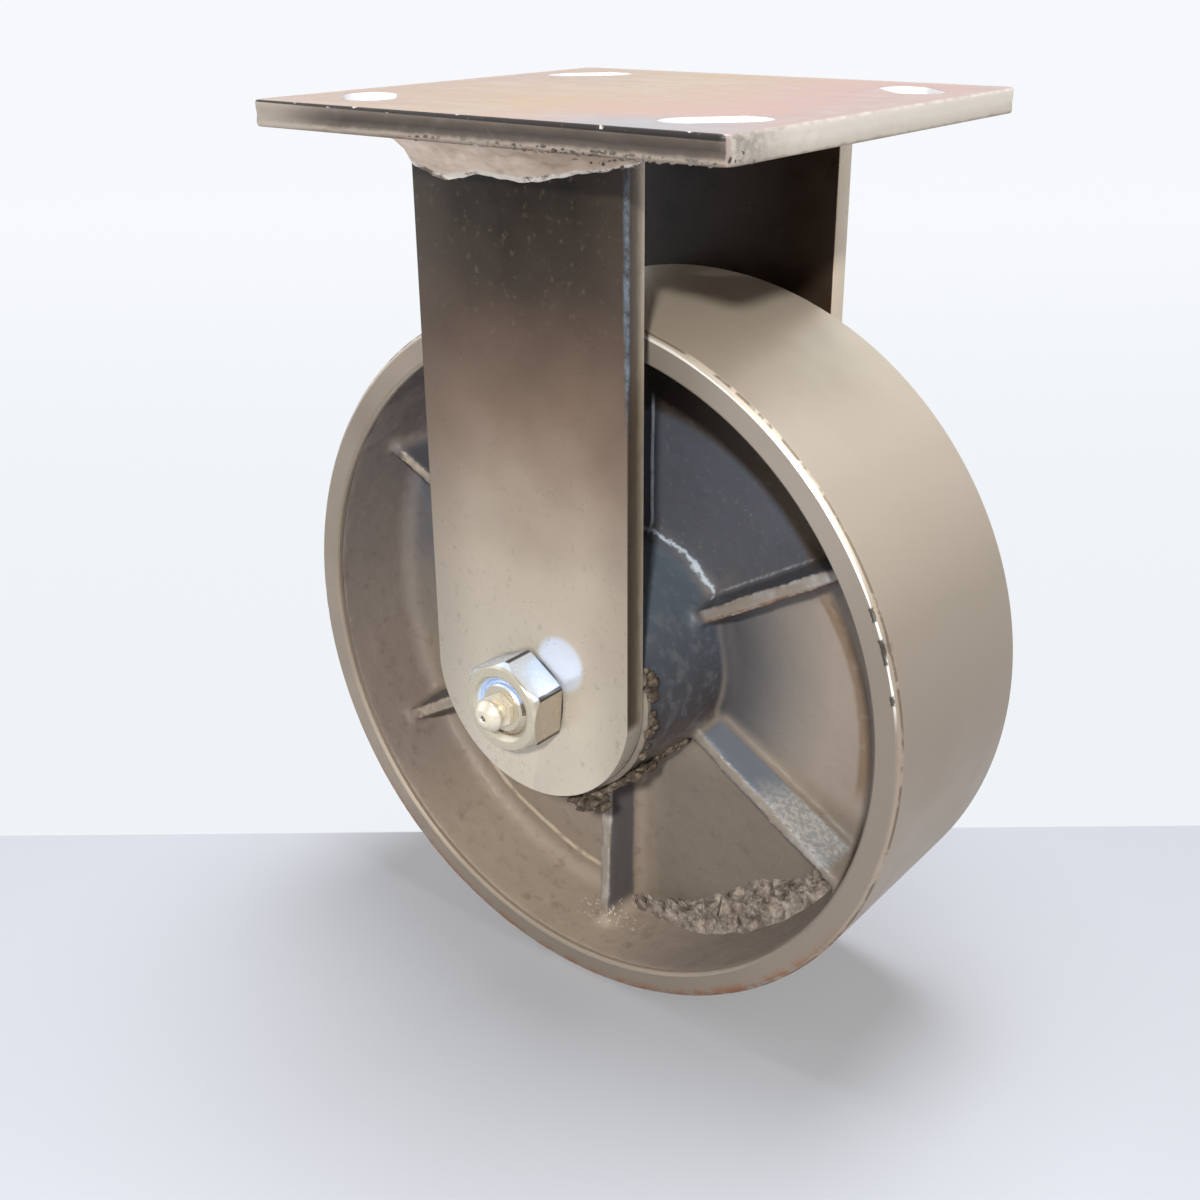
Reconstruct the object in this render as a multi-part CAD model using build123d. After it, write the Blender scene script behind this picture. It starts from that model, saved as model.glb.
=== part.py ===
from build123d import *
import math
import os

# A rigid heavy duty plate castor: two flat legs welded under a slotted plate,
# and a ribbed cast iron wheel on a greased roller bearing between them.
# Millimetres. +Z is up, X is the rolling direction and Y lies along the axle.
# The origin is the middle of the plate's mounting face. "Near" is the -Y side.

# How near two places count as one, when an edge or a corner is picked out
tiny = 0.001

# Top plate
plate_length = 142.0
plate_width = 135.0
plate_thickness = 6.35
plate_corner_radius = 3.2
plate_edge_bevel = 0.9
slot_spacing_x = 104.8
slot_spacing_y = 88.9
slot_width = 13.5
slot_length = 25.4
slot_turn = 45

# Legs: flat bar with a half round lower end struck from just above the axle
axle_drop = 150.0
leg_width = 66.7
leg_thickness = 6.35
leg_round_rise = 3.2
leg_edge_bevel = 0.6

# Fillet welds between the legs and the plate
outer_weld_out = 12.0
outer_weld_down = 10.5
outer_weld_overhang = 2.0
inner_weld_out = 5.0
inner_weld_down = 5.0
inner_weld_setback = 3.0
weld_hollow = 0.12  # how far the bead's face sinks, as a share of its size

# Cast wheel
wheel_radius = 101.6
tread_width = 65.0
tread_bevel = 1.6
rim_face_thickness = 7.4
rim_root_thickness = 11.0
web_thickness = 9.5
hub_length = 82.55
hub_root_radius = 34.5
hub_end_radius = 32.4
hub_end_bevel = 1.2
casting_fillet = 4.5
rib_count = 6
rib_hub_height = 10.5
rib_rim_height = 14.5
rib_root_thickness = 6.6
rib_draft_angle = 6.5
rib_root_fillet = 2.2
rib_edge_round = 0.7
rib_seat = 3.5

# Roller bearing: sleeve, caged rollers and a pressed outer race
sleeve_radius = 12.7
roller_radius = 3.175
roller_count = 10
roller_end_round = 0.4
roller_clearance = 0.04
roller_pocket_clearance = 0.15
cage_wall = 3.4
cage_end_ring = 4.4
cage_inset = 0.725
race_wall = 3.9
race_inset = 0.4
race_lead_bevel = 0.5
grease_hole_radius = 1.6
grease_groove_width = 5.0
grease_groove_depth = 0.8

# Thrust washers and the play of the hub between them
thrust_washer_thickness = 2.2
thrust_washer_radius = 28.5
hub_side_play = 0.175
sleeve_fit = 0.15

# Axle bolt, nut and the clearances of the bolt in its holes
bolt_radius = 7.94
bolt_fit = 0.12
bolt_head_height = 10.0
hex_across_flats = 23.8
hex_bevel_angle = 30
nut_bevel_angle = 50
nut_height = 12.0
nut_turn = 25.0
nut_countersink = 1.0
head_turn = 8.0
thread_fit = 0.05
bolt_end_inset = 0.6
bolt_end_bevel = 1.3
bolt_drilling_radius = 2.0

# Grease nipple with its spring loaded check ball
nipple_thread_radius = 3.0
nipple_thread_length = 6.5
nipple_hex_flats = 8.8
nipple_collar_height = 1.8
nipple_neck_radius = 2.7
nipple_neck_height = 1.2
nipple_head_radius = 4.5
nipple_flank_height = 1.5
nipple_band_height = 0.8
nipple_crown_height = 2.1
nipple_head_round = 0.8
nipple_tip_radius = 1.9
nipple_mouth_radius = 0.8
nipple_mouth_depth = 0.6
nipple_bore_radius = 1.3
nipple_lip_radius = 0.9
nipple_lip_thickness = 0.8
ball_fit = 0.08
spring_wire_radius = 0.16
spring_turns = 4
spring_end_gap = 0.02

# Places that follow from the sizes above
leg_inner_y = hub_length / 2 + hub_side_play + thrust_washer_thickness
leg_outer_y = leg_inner_y + leg_thickness
leg_round_z = -axle_drop + leg_round_rise
nut_face_y = leg_outer_y + nut_height
bolt_end_y = nut_face_y - bolt_end_inset
web_face_y = web_thickness / 2
pitch_radius = sleeve_radius + roller_clearance + roller_radius
race_inner_radius = pitch_radius + roller_radius + roller_clearance
race_outer_radius = race_inner_radius + race_wall
cage_half_length = hub_length / 2 - cage_inset
pocket_half_length = cage_half_length - cage_end_ring
roller_step = 360 / roller_count
rib_step = 360 / rib_count
hex_corner_radius = hex_across_flats / 2 / math.cos(math.pi / 6)
nipple_collar_top = bolt_end_y + nipple_collar_height
nipple_head_base = nipple_collar_top + nipple_neck_height
nipple_tip_y = nipple_head_base + nipple_flank_height + nipple_band_height + nipple_crown_height
nipple_root_y = bolt_end_y - nipple_thread_length
nipple_lip_y = nipple_root_y + nipple_lip_thickness
ball_radius = nipple_bore_radius - ball_fit


# Puts a piece that is drawn round the Y axis on the axle
def on_axle(piece):
    return Pos(0, 0, -axle_drop) * piece


# A closed outline of (radius, y) points turned round the Y axis
def turned(points):
    return revolve(make_face(Polyline(*points, close=True)), Axis.Y)


# A cylinder along Y between two places on that axis
def rod_along_y(radius, start, end):
    disc = Plane.XZ.offset(-start) * Circle(radius)
    return extrude(disc, -(end - start))


def tube_along_y(outer_radius, inner_radius, start, end):
    return rod_along_y(outer_radius, start, end) - rod_along_y(inner_radius, start, end)


def mirrored(piece):
    return mirror(piece, Plane.XZ)


# The plate's slots lie square to its diagonals, so that the bolts can be set
# nearer to either pair of edges
def make_top_plate():
    outline = RectangleRounded(plate_length, plate_width, plate_corner_radius)
    for x_side in (-1, 1):
        for y_side in (-1, 1):
            centre = Pos(x_side * slot_spacing_x / 2, y_side * slot_spacing_y / 2)
            slot = SlotOverall(slot_length, slot_width, rotation=-slot_turn * x_side * y_side)
            outline -= centre * slot
    plate = extrude(Pos(0, 0, -plate_thickness) * outline, plate_thickness)
    levels = plate.faces().sort_by(Axis.Z)
    rims = levels[0].outer_wire().edges() + levels[-1].outer_wire().edges()
    return chamfer(rims, plate_edge_bevel)


def make_leg():
    straight = leg_round_z + plate_thickness
    outline = Pos(0, -plate_thickness + straight / 2) * Rectangle(leg_width, -straight)
    outline += Pos(0, leg_round_z) * Circle(leg_width / 2)
    outline -= Pos(0, -axle_drop) * Circle(bolt_radius + bolt_fit)
    leg = extrude(Plane.XZ.offset(leg_inner_y) * outline, leg_thickness)
    outer_face = leg.faces().sort_by(Axis.Y)[0]
    edges = [edge for edge in outer_face.outer_wire().edges() if edge.center().Z < -plate_thickness - tiny]
    return chamfer(edges, leg_edge_bevel)


# A hollow fillet weld along the plate's underside, on a leg's face at face_y.
# It grows by out along the plate and by down on the leg, and its ends are round.
def make_weld(face_y, out, down, half_length):
    corner = (face_y, -plate_thickness)
    on_plate = (face_y + out, -plate_thickness)
    on_leg = (face_y, -plate_thickness - down)
    belly = (face_y + out * (0.5 - weld_hollow), -plate_thickness - down * (0.5 - weld_hollow))
    edge = Line(corner, on_plate) + ThreePointArc(on_plate, belly, on_leg) + Line(on_leg, corner)
    section = Plane.YZ * make_face(edge)
    end_x = half_length - abs(out)
    bead = extrude(Pos(-end_x, 0, 0) * section, 2 * end_x, dir=(1, 0, 0))
    turn = Axis((0, face_y, 0), (0, 0, 1))
    horn = revolve(section, turn, math.copysign(90, out))
    bead += Pos(-end_x, 0, 0) * horn
    bead += Pos(end_x, 0, 0) * mirror(horn, Plane.YZ)
    return bead


# The half section of the casting, from the bore to the tread. The flanks of the
# hub and of the rim are drafted, and meet the web in fillets.
def make_wheel_section():
    half_tread = tread_width / 2
    outline = Polyline(
        (race_outer_radius, 0),
        (race_outer_radius, hub_length / 2),
        (hub_end_radius, hub_length / 2),
        (hub_root_radius, web_face_y),
        (wheel_radius - rim_root_thickness, web_face_y),
        (wheel_radius - rim_face_thickness, half_tread),
        (wheel_radius, half_tread),
        (wheel_radius, 0),
        close=True,
    )
    half = make_face(outline)
    roots = [v for v in half.vertices() if abs(v.Y - web_face_y) < tiny]
    half = fillet(roots, casting_fillet)
    hub_end = half.vertices().sort_by_distance((hub_end_radius, hub_length / 2))[0]
    half = chamfer(hub_end, hub_end_bevel)
    tread_edge = half.vertices().sort_by_distance((wheel_radius, half_tread))[0]
    half = chamfer(tread_edge, tread_bevel)
    return half + mirror(half, Plane.XZ)


# A rib's cross-section stands on the web, drafted, with a fillet on each side
# of its root; its edge rises from the hub to the rim
def make_rib():
    start = hub_end_radius - rib_seat
    end = wheel_radius - rim_root_thickness + rib_seat
    low = web_face_y + rib_hub_height
    high = web_face_y + rib_rim_height
    root = rib_root_thickness / 2
    edge = root - rib_rim_height * math.tan(math.radians(rib_draft_angle))
    foot = root + 2 * rib_root_fillet
    outline = Polyline(
        (web_face_y - rib_seat, -foot),
        (web_face_y, -foot),
        (web_face_y, -root),
        (high, -edge),
        (high, edge),
        (web_face_y, root),
        (web_face_y, foot),
        (web_face_y - rib_seat, foot),
        close=True,
    )
    section = make_face(outline)
    roots = [v for v in section.vertices() if abs(v.X - web_face_y) < tiny and abs(v.Y) < root + tiny]
    section = fillet(roots, rib_root_fillet)
    rib = extrude(Plane.YZ.offset(start) * section, end - start)
    slope = make_face(Polyline((start, low), (end, high), (start, high), close=True))
    rib -= extrude(slope, foot, both=True)
    brow = [e for e in rib.edges() if e.length > end - start and e.center().Y > low]
    return fillet(brow, rib_edge_round)


def make_wheel():
    wheel = revolve(make_wheel_section(), Axis.Y)
    rib = make_rib()
    ribs = []
    for index in range(rib_count):
        turned_rib = Rot(0, 90 + index * rib_step, 0) * rib
        ribs += [turned_rib, mirrored(turned_rib)]
    return on_axle(wheel + ribs)


def make_outer_race():
    half = hub_length / 2 - race_inset
    race = turned([
        (race_inner_radius, -half),
        (race_outer_radius - race_lead_bevel, -half),
        (race_outer_radius, -half + race_lead_bevel),
        (race_outer_radius, half - race_lead_bevel),
        (race_outer_radius - race_lead_bevel, half),
        (race_inner_radius, half),
    ])
    return on_axle(race)


# The sleeve fills the space between the legs, and a groove in its bore feeds
# grease from the bolt to a hole that opens between the rollers
def make_bearing_sleeve():
    bore = bolt_radius + bolt_fit
    sleeve = tube_along_y(sleeve_radius, bore, -leg_inner_y, leg_inner_y)
    half_groove = grease_groove_width / 2
    sleeve -= rod_along_y(bore + grease_groove_depth, -half_groove, half_groove)
    sleeve -= extrude(Plane.XY * Circle(grease_hole_radius), sleeve_radius + grease_hole_radius)
    return on_axle(sleeve)


def make_roller(index):
    angle = math.radians(index * roller_step)
    half = pocket_half_length - roller_pocket_clearance
    roller = rod_along_y(roller_radius, -half, half)
    roller = chamfer(roller.edges().filter_by(GeomType.CIRCLE), roller_end_round)
    return on_axle(Pos(pitch_radius * math.cos(angle), 0, pitch_radius * math.sin(angle)) * roller)


# One ring with a pocket bored for each roller, open inside and outside
def make_roller_cage():
    outer = pitch_radius + cage_wall / 2
    inner = pitch_radius - cage_wall / 2
    cage = tube_along_y(outer, inner, -cage_half_length, cage_half_length)
    bore = roller_radius + roller_pocket_clearance
    pocket = rod_along_y(bore, -pocket_half_length, pocket_half_length)
    for index in range(roller_count):
        angle = math.radians(index * roller_step)
        cage -= Pos(pitch_radius * math.cos(angle), 0, pitch_radius * math.sin(angle)) * pocket
    return on_axle(cage)


def make_thrust_washer():
    start = -leg_inner_y
    end = start + thrust_washer_thickness
    return on_axle(tube_along_y(thrust_washer_radius, sleeve_radius + sleeve_fit, start, end))


# A hexagon along Y from start to end, with its corners turned off at an angle
# at each end
def make_hexagon(start, end, turn, start_bevel, end_bevel):
    outline = RegularPolygon(hex_corner_radius, 6, rotation=turn)
    prism = extrude(Plane.XZ.offset(-start) * outline, -(end - start))
    flat_radius = hex_across_flats / 2
    reach = hex_corner_radius - flat_radius
    return prism & turned([
        (0, start),
        (flat_radius, start),
        (hex_corner_radius, start + reach * math.tan(math.radians(start_bevel))),
        (hex_corner_radius, end - reach * math.tan(math.radians(end_bevel))),
        (flat_radius, end),
        (0, end),
    ])


def make_axle_nut():
    nut = make_hexagon(-nut_face_y, -leg_outer_y, nut_turn, nut_bevel_angle, hex_bevel_angle)
    bore = bolt_radius + thread_fit
    mouth = bore + nut_countersink
    nut -= turned([
        (0, -nut_face_y),
        (mouth, -nut_face_y),
        (bore, -nut_face_y + nut_countersink),
        (bore, -leg_outer_y - nut_countersink),
        (mouth, -leg_outer_y),
        (0, -leg_outer_y),
    ])
    return on_axle(nut)


def make_axle_bolt():
    head_end = leg_outer_y + bolt_head_height
    bolt = make_hexagon(leg_outer_y, head_end, head_turn, 0, hex_bevel_angle)
    shank = rod_along_y(bolt_radius, -bolt_end_y, leg_outer_y)
    tip = shank.edges().filter_by(GeomType.CIRCLE).sort_by(Axis.Y)[0]
    bolt += chamfer(tip, bolt_end_bevel)
    bolt -= rod_along_y(nipple_thread_radius + thread_fit, -bolt_end_y, -nipple_root_y)
    bolt -= rod_along_y(bolt_drilling_radius, -bolt_end_y, 2 * grease_hole_radius)
    bolt -= extrude(Plane.XY * Circle(grease_hole_radius), bolt_radius + grease_hole_radius)
    return on_axle(bolt)


# Turned from one hexagon bar: thread, collar, neck and the ball shaped head, bored
# up to the seat of the check ball, with a lip at the thread end under the spring
def make_grease_nipple():
    seat_y = nipple_tip_y - nipple_mouth_depth
    cone = nipple_bore_radius - nipple_mouth_radius
    band_start = nipple_head_base + nipple_flank_height
    band_end = band_start + nipple_band_height
    outline = Polyline(
        (nipple_head_radius, -band_start),
        (nipple_neck_radius, -nipple_head_base),
        (nipple_neck_radius, -nipple_collar_top),
        (nipple_thread_radius, -nipple_collar_top),
        (nipple_thread_radius, -nipple_root_y),
        (nipple_lip_radius, -nipple_root_y),
        (nipple_lip_radius, -nipple_lip_y),
        (nipple_bore_radius, -nipple_lip_y),
        (nipple_bore_radius, -seat_y + cone),
        (nipple_mouth_radius, -seat_y),
        (nipple_mouth_radius, -nipple_tip_y),
        (nipple_tip_radius, -nipple_tip_y),
        (nipple_head_radius, -band_end),
        close=True,
    )
    section = make_face(outline)
    brows = [v for v in section.vertices() if abs(v.X - nipple_head_radius) < tiny]
    section = fillet(brows, nipple_head_round)
    hexagon = RegularPolygon(nipple_hex_flats / 2 / math.cos(math.pi / 6), 6)
    collar = extrude(Plane.XZ.offset(bolt_end_y) * hexagon, nipple_collar_height)
    collar -= rod_along_y(nipple_neck_radius, -nipple_collar_top, -bolt_end_y)
    return on_axle(revolve(section, Axis.Y) + collar)


# The ball touches the 45 degree seat behind the mouth
def ball_centre_y():
    seat_y = nipple_tip_y - nipple_mouth_depth
    return -seat_y - nipple_mouth_radius + (ball_radius + ball_fit) * math.sqrt(2)


def make_nipple_ball():
    return on_axle(Pos(0, ball_centre_y(), 0) * Sphere(ball_radius))


# The spring's first turn lies on the ball's back, and its last on the lip
def make_nipple_spring():
    coil_radius = ball_radius - 2 * spring_wire_radius
    reach = ball_radius + spring_wire_radius + spring_end_gap
    start = ball_centre_y() + math.sqrt(reach ** 2 - coil_radius ** 2)
    height = -nipple_lip_y - spring_wire_radius - spring_end_gap - start
    path = Helix(height / spring_turns, height, coil_radius)
    wire = Plane(path @ 0, z_dir=path % 0) * Circle(spring_wire_radius)
    spring = sweep(wire, path, is_frenet=True)
    return on_axle(Pos(0, start, 0) * Rot(-90, 0, 0) * spring)


def make_parts():
    outer_half = leg_width / 2 + outer_weld_overhang
    inner_half = leg_width / 2 - inner_weld_setback
    near_leg = make_leg()
    near_outer_weld = make_weld(-leg_outer_y, -outer_weld_out, outer_weld_down, outer_half)
    near_inner_weld = make_weld(-leg_inner_y, inner_weld_out, inner_weld_down, inner_half)
    near_washer = make_thrust_washer()
    parts = {
        "top_plate": make_top_plate(),
        "near_leg": near_leg,
        "far_leg": mirrored(near_leg),
        "near_outer_weld": near_outer_weld,
        "far_outer_weld": mirrored(near_outer_weld),
        "near_inner_weld": near_inner_weld,
        "far_inner_weld": mirrored(near_inner_weld),
        "axle_bolt": make_axle_bolt(),
        "axle_nut": make_axle_nut(),
        "grease_nipple": make_grease_nipple(),
        "nipple_ball": make_nipple_ball(),
        "nipple_spring": make_nipple_spring(),
        "bearing_sleeve": make_bearing_sleeve(),
        "near_thrust_washer": near_washer,
        "far_thrust_washer": mirrored(near_washer),
        "wheel": make_wheel(),
        "outer_race": make_outer_race(),
        "roller_cage": make_roller_cage(),
    }
    for index in range(roller_count):
        parts[f"roller_{index + 1:02d}"] = make_roller(index)
    return parts


os.makedirs("parts", exist_ok=True)
for name, shape in make_parts().items():
    export_step(shape, f"parts/{name}.step")
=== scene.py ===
import bpy
import bmesh
import math
import random
from mathutils import Matrix, Vector, noise


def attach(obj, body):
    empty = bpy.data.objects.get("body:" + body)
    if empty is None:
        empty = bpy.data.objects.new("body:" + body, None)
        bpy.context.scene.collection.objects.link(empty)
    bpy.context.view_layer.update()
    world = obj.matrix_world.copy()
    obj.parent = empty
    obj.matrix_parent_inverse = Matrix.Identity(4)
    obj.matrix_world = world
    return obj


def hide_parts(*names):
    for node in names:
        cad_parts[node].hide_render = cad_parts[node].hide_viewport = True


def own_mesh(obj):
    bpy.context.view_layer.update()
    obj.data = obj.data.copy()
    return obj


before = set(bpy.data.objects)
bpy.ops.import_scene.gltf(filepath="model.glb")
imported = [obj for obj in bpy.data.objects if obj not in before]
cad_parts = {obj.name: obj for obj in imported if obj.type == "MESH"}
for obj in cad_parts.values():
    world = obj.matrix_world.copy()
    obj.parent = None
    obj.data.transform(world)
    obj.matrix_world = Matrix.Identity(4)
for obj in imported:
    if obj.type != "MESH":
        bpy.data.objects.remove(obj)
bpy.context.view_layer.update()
print("frame loaded")

mm = 0.001
axleDrop = 150          # the axle below the plate's mounting face
plateUnder = 143.65       # the plate's underside above the axle
plateTop = 150
legInner = 43.65
legOuter = 50
fullTurn = 2 * math.pi


# shapes are made in millimetres round the axle, and makePiece sets them in place

def addObject(name, data):
    obj = bpy.data.objects.new(name, data)
    bpy.context.scene.collection.objects.link(obj)
    return obj


def tempObject(bm, name="temp"):
    mesh = bpy.data.meshes.new(name)
    bm.to_mesh(mesh)
    bm.free()
    return addObject(name, mesh)


def bakedBack(obj, *others):
    # reads the object back with its modifiers, and clears it away
    bpy.context.view_layer.update()
    graph = bpy.context.evaluated_depsgraph_get()
    mesh = bpy.data.meshes.new_from_object(obj.evaluated_get(graph))
    bm = bmesh.new()
    bm.from_mesh(mesh)
    bpy.data.meshes.remove(mesh)
    for item in (obj,) + others:
        bpy.data.objects.remove(item)
    return bm


def joinInto(bm, other):
    mesh = bpy.data.meshes.new("joined")
    other.to_mesh(mesh)
    other.free()
    bm.from_mesh(mesh)
    bpy.data.meshes.remove(mesh)


def moveShape(bm, x, y, z):
    bmesh.ops.translate(bm, vec=(x, y, z), verts=bm.verts)


def turnShape(bm, degrees, axis):
    bmesh.ops.rotate(bm, matrix=Matrix.Rotation(math.radians(degrees), 3, axis), verts=bm.verts)


def tidyShell(bm, gap):
    bmesh.ops.remove_doubles(bm, verts=bm.verts, dist=gap)
    bmesh.ops.recalc_face_normals(bm, faces=bm.faces)


def flatFaces(bm, angle):
    bmesh.ops.dissolve_limit(bm, angle_limit=angle, verts=bm.verts, edges=bm.edges)


def block(x, y, z):
    bm = bmesh.new()
    bmesh.ops.create_cube(bm, size=1)
    bmesh.ops.scale(bm, vec=(x, y, z), verts=bm.verts)
    return bm


def edgesAlong(bm, axis):
    return [e for e in bm.edges if abs(e.verts[0].co[axis] - e.verts[1].co[axis]) > 1]


def hexPrism(corner, depth):
    bm = bmesh.new()
    bmesh.ops.create_cone(bm, cap_ends=True, segments=6, radius1=corner, radius2=corner, depth=depth)
    return bm


def hexCorner(flats):
    return flats / 2 / math.cos(math.pi / 6)


def spinProfile(points, segments, closed=True):
    bm = bmesh.new()
    verts = [bm.verts.new((radius, y, 0)) for radius, y in points]
    edges = [bm.edges.new(pair) for pair in zip(verts, verts[1:])]
    if closed:
        edges.append(bm.edges.new((verts[-1], verts[0])))
    bmesh.ops.spin(bm, geom=verts + edges, cent=(0, 0, 0), axis=(0, 1, 0),
                   angle=fullTurn, steps=segments, use_merge=True)
    tidyShell(bm, 0.0005)
    return bm


def carve(bm, tool, operation="DIFFERENCE"):
    obj, cutter = tempObject(bm), tempObject(tool, "cutter")
    cut = obj.modifiers.new("carve", "BOOLEAN")
    cut.operation = operation
    cut.solver = "EXACT"
    cut.object = cutter
    return bakedBack(obj, cutter)


def castOver(bm, voxel, smoothing):
    # one skin over all the closed shapes, with soft inside corners
    obj = tempObject(bm)
    skin = obj.modifiers.new("skin", "REMESH")
    skin.mode = "VOXEL"
    skin.voxel_size = voxel
    soft = obj.modifiers.new("soft", "SMOOTH")
    soft.factor = 0.5
    soft.iterations = smoothing
    return bakedBack(obj)


def neighbours(vert):
    return [edge.other_vert(vert) for edge in vert.link_edges]


def bendOf(vert):
    # below zero on an outside corner and above it in an inside one
    around = neighbours(vert)
    return sum((other.co - vert.co).normalized().dot(vert.normal) for other in around) / max(1, len(around))


def softenInside(bm, rounds, bend=0.06, nearBend=-0.03):
    bm.normal_update()
    inside = {v for v in bm.verts if bendOf(v) > bend}
    inside |= {other for v in inside for other in neighbours(v) if bendOf(other) > nearBend}
    for _ in range(rounds):
        bmesh.ops.smooth_vert(bm, verts=list(inside), factor=0.5,
                              use_axis_x=True, use_axis_y=True, use_axis_z=True)
    bm.normal_update()


def bevelEdges(bm, edges, width, segments):
    bmesh.ops.bevel(bm, geom=edges, offset=width, offset_type="OFFSET", segments=segments,
                    profile=0.5, affect="EDGES", material=-1, clamp_overlap=True)


def sharpEdges(bm, angle):
    return [e for e in bm.edges if e.is_manifold and e.calc_face_angle(0) > math.radians(angle)]


def lumpy(point, scale):
    return noise.fractal(Vector(point) / scale, 1, 2, 3)


def radiusOf(vert):
    return math.hypot(vert.co.x, vert.co.z)


def angleAt(vert):
    return math.atan2(vert.co.z, vert.co.x)


def makePiece(bm, name, material, body, nodes=(), crease=32):
    for face in bm.faces:
        face.smooth = True
    for edge in bm.edges:
        if edge.is_manifold:
            edge.smooth = edge.calc_face_angle(0) < math.radians(crease)
    place = Matrix.Translation((0, 0, -axleDrop * mm)) @ Matrix.Scale(mm, 4)
    bmesh.ops.transform(bm, matrix=place, verts=bm.verts)
    obj = tempObject(bm, name)
    obj.data.materials.append(material)
    if nodes:
        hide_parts(*nodes)
    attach(obj, body)
    print("made", name, len(obj.data.polygons), "faces")
    return obj


# materials are written as sums over the surface

class Field:
    # a socket's number, which varies over the surface and can be added and multiplied
    def __init__(self, socket):
        self.socket = socket
        self.tree = socket.id_data

    def maths(self, operation, other=0, clamp=False):
        return newField(self.tree, "Math", {0: self, 1: other}, operation=operation, use_clamp=clamp)

    def __add__(self, other):
        return self.maths("ADD", other)

    def __sub__(self, other):
        return self.maths("SUBTRACT", other)

    def __mul__(self, other):
        return self.maths("MULTIPLY", other)

    def __truediv__(self, other):
        return self.maths("DIVIDE", other)

    def __abs__(self):
        return self.maths("ABSOLUTE")

    def share(self, low, high, outLow=0, outHigh=1, way="LINEAR"):
        return newField(self.tree, "MapRange", {
            "Value": self, "From Min": low, "From Max": high, "To Min": outLow, "To Max": outHigh},
            interpolation_type=way)

    def fade(self, low, high, outLow=0, outHigh=1):
        return self.share(low, high, outLow, outHigh, "SMOOTHSTEP")

    def within(self, low, high, soft):
        return self.fade(low - soft, low + soft) * self.fade(high - soft, high + soft, 1, 0)


def addNode(tree, kind, inputs=None, **settings):
    node = tree.nodes.new("ShaderNode" + kind)
    for name, value in settings.items():
        setattr(node, name, value)
    for key, value in (inputs or {}).items():
        value = getattr(value, "socket", value)
        if isinstance(value, bpy.types.NodeSocket):
            tree.links.new(value, node.inputs[key])
        else:
            node.inputs[key].default_value = value
    return node


def newField(tree, kind, inputs=None, out=0, **settings):
    return Field(addNode(tree, kind, inputs, **settings).outputs[out])


def linear(colour):
    parts = [int(colour[start:start + 2], 16) / 255 for start in (0, 2, 4)]
    parts = [c / 12.92 if c <= 0.04045 else ((c + 0.055) / 1.055) ** 2.4 for c in parts]
    return (*parts, 1)


def mixed(share, first, second):
    colours = [c if isinstance(c, Field) else linear(c) for c in (first, second)]
    return newField(share.tree, "Mix", {"Factor": share, 6: colours[0], 7: colours[1]}, 2, data_type="RGBA")


def colourStops(value, stops):
    node = addNode(value.tree, "ValToRGB", {"Fac": value})
    ramp = node.color_ramp
    for element, (position, colour) in zip(ramp.elements, (stops[0], stops[-1])):
        element.position, element.color = position, linear(colour)
    for position, colour in stops[1:-1]:
        ramp.elements.new(position).color = linear(colour)
    return Field(node.outputs["Color"])


def speckle(place, size, detail=4, rough=0.55, stretch=(1, 1, 1), distort=0):
    scaled = newField(place.tree, "Mapping", {"Vector": place, "Scale": stretch})
    return newField(place.tree, "TexNoise", {"Vector": scaled, "Scale": 1 / size, "Detail": detail,
                                             "Roughness": rough, "Distortion": distort}, "Fac")


def vertexValue(place, name):
    return newField(place.tree, "Attribute", out="Fac", attribute_name=name)


def lengthOf(a, b):
    return (a * a + b * b).maths("SQRT")


def degreesOf(x, z):
    # round the axle, from the right and up over the top
    return z.maths("ARCTAN2", x) * (180 / math.pi)


def newFinish(name, **fixed):
    material = bpy.data.materials.new(name)
    material.use_nodes = True
    tree = material.node_tree
    shader = tree.nodes["Principled BSDF"]
    for key, value in fixed.items():
        shader.inputs[key.replace("_", " ")].default_value = value
    # object coordinates, moved to the axle and given in millimetres
    coords = newField(tree, "TexCoord", out="Object")
    return material, newField(tree, "Mapping", {"Vector": coords, "Location": (0, 0, axleDrop),
                                                "Scale": (1000, 1000, 1000)})


def axesOf(place):
    return [Field(axis) for axis in addNode(place.tree, "SeparateXYZ", {"Vector": place}).outputs]


def dress(material, tone, rough, *bumps):
    # a bump is (height, distance in millimetres, strength), and each lies on the one before it
    tree = material.node_tree
    inputs = tree.nodes["Principled BSDF"].inputs
    under = {}
    for height, distance, strength in bumps:
        normal = newField(tree, "Bump", {"Height": height, "Distance": distance * mm,
                                         "Strength": strength, **under})
        under = {"Normal": normal}
    for key, value in (("Base Color", tone), ("Roughness", rough), ("Normal", normal)):
        tree.links.new(value.socket, inputs[key])
    return material


# the camera stands at the photograph's angle

cameraView = {"place": (0.23430, -0.31527, 0.03163), "target": (-0.015015, 0, -0.144072),
              "roll": -0.483, "lens": 44.13, "sensor": 36, "nearest": 0.01}


def aimed(place, target):
    turn = (Vector(target) - Vector(place)).to_track_quat("-Z", "Y").to_matrix().to_4x4()
    return Matrix.Translation(place) @ turn


def addCamera(view):
    data = bpy.data.cameras.new("camera")
    data.lens = view["lens"]
    data.sensor_width = view["sensor"]
    data.clip_start = view["nearest"]
    camera = addObject("camera", data)
    roll = Matrix.Rotation(math.radians(view["roll"]), 4, "Z")
    camera.matrix_world = aimed(view["place"], view["target"]) @ roll
    bpy.context.scene.camera = camera


addCamera(cameraView)
print("camera placed")


# floor, lamps and surroundings, in metres

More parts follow.
